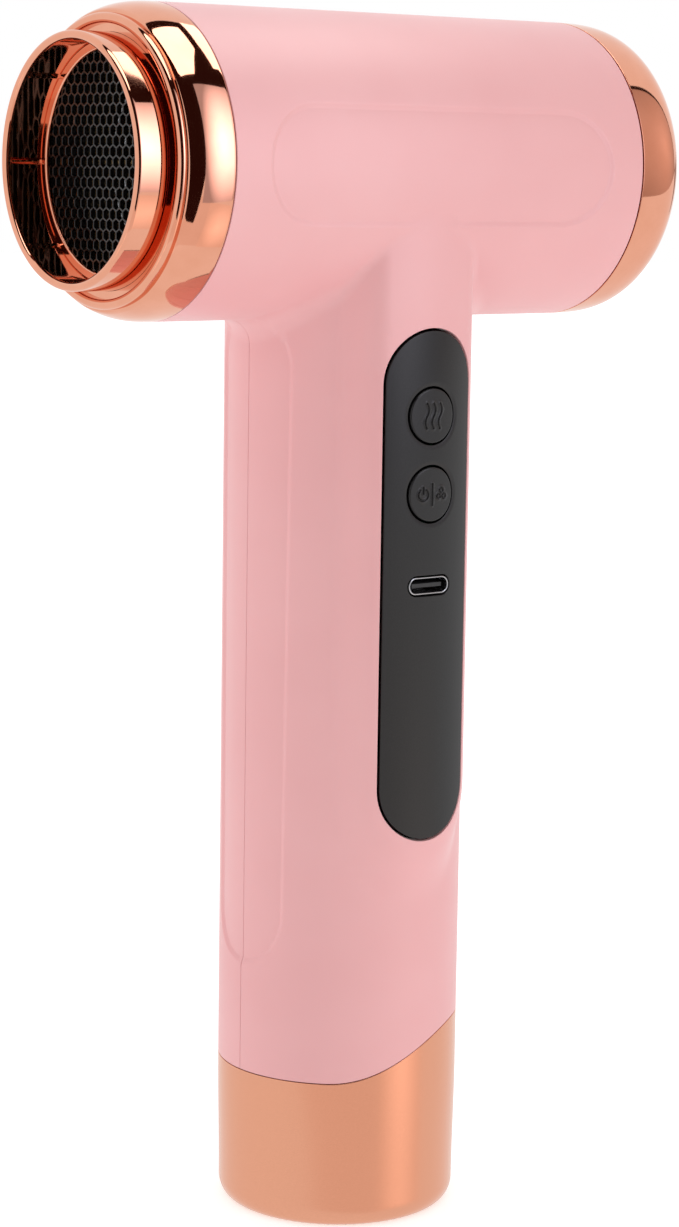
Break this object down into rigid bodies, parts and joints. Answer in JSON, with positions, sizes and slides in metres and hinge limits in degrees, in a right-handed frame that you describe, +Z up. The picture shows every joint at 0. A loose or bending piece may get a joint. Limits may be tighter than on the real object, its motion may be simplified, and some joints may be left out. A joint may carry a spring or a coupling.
{
  "type": "travel hair dryer",
  "caption": "Cordless travel hair dryer: level barrel on an upright battery handle, plated outlet, caps, honeycomb grille and side control panel.",
  "frame": {"origin": "centre of the flat base, on the handle's axis", "axes": "+Z up along the handle, -Y the way the air leaves the outlet, +X the side with the control panel"},
  "size_m": [0.0546, 0.1217, 0.2195],
  "materials": {
    "housing_plastic": "satin moulded ABS, dusty pink",
    "rose_gold_chrome": "polished rose-gold plating",
    "rose_gold_satin": "satin rose-gold plating",
    "panel_plastic": "fine matte black",
    "grille_black": "heat-proof black mesh",
    "cell_wrap": "shrink sleeve",
    "inner_plastic": "moulded, unfinished",
    "nickel": "bare strip",
    "circuit_board": "solder mask",
    "steel": "bright",
    "brass": "sintered or turned",
    "wire_insulation": "smooth",
    "mica": "pressed mica sheet",
    "ferrite": "sintered",
    "laminated_steel": "stamped",
    "black_nylon": "glass-filled"
  },
  "bodies": {
    "casing": {"base_screws": "steel", "battery_board": "circuit_board", "battery_cradle": "inner_plastic", "battery_leads": "wire_insulation", "board_links": "brass", "bottom_cap": "rose_gold_satin", "bottom_cell_strip": "nickel", "charging_socket_shell": "steel", "charging_socket_tongue": "inner_plastic", "control_board": "circuit_board", "control_board_screws": "steel", "control_panel": "panel_plastic", "driver_board": "circuit_board", "fan_duct": "black_nylon", "front_bush": "brass", "grille_ring": "rose_gold_chrome", "heat_switch": "black_nylon", "heater_leads": "wire_insulation", "heater_sleeve": "mica", "heating_coil": "steel", "housing_left_shell": "housing_plastic", "housing_right_shell": "housing_plastic", "intake_filter": "inner_plastic", "level_mica_plate": "mica", "lower_cell_1": "cell_wrap", "lower_cell_2": "cell_wrap", "lower_cell_3": "cell_wrap", "middle_cell_holder": "inner_plastic", "middle_cell_strip": "nickel", "motor_brushes": "ferrite", "motor_can": "steel", "motor_end_cap": "black_nylon", "motor_leads": "wire_insulation", "motor_magnets": "ferrite", "motor_screws": "steel", "outlet_collar": "rose_gold_chrome", "outlet_grille": "grille_black", "outlet_sleeve": "rose_gold_chrome", "power_switch": "black_nylon", "power_transistors": "black_nylon", "rear_bush": "brass", "rear_cap": "rose_gold_chrome", "thermal_cutoff": "brass", "top_cell_holder": "inner_plastic", "top_cell_strip": "nickel", "upper_cell_1": "cell_wrap", "upper_cell_2": "cell_wrap", "upper_cell_3": "cell_wrap", "upright_mica_plate": "mica"},
    "fan_rotor": {"fan_impeller": "black_nylon", "motor_shaft": "steel", "motor_armature": "laminated_steel", "motor_commutator": "brass"},
    "heat_key": {"heat_button": "panel_plastic", "heat_switch_plunger": "black_nylon"},
    "power_key": {"power_button": "panel_plastic", "power_switch_plunger": "black_nylon"}
  },
  "joints": [
    {"name": "fan_spin", "type": "hinge", "parent": "casing", "child": "fan_rotor", "pos_m": [0, 0, 0.1922], "axis": [0, 1, 0], "continuous": true},
    {"name": "heat_press", "type": "slide", "parent": "casing", "child": "heat_key", "axis": [-1, 0, 0], "range_m": [0, 0.0005], "stiffness_N_per_m": 900, "springref_m": -0.0005},
    {"name": "power_press", "type": "slide", "parent": "casing", "child": "power_key", "axis": [-1, 0, 0], "range_m": [0, 0.0005], "stiffness_N_per_m": 900, "springref_m": -0.0005}
  ]
}
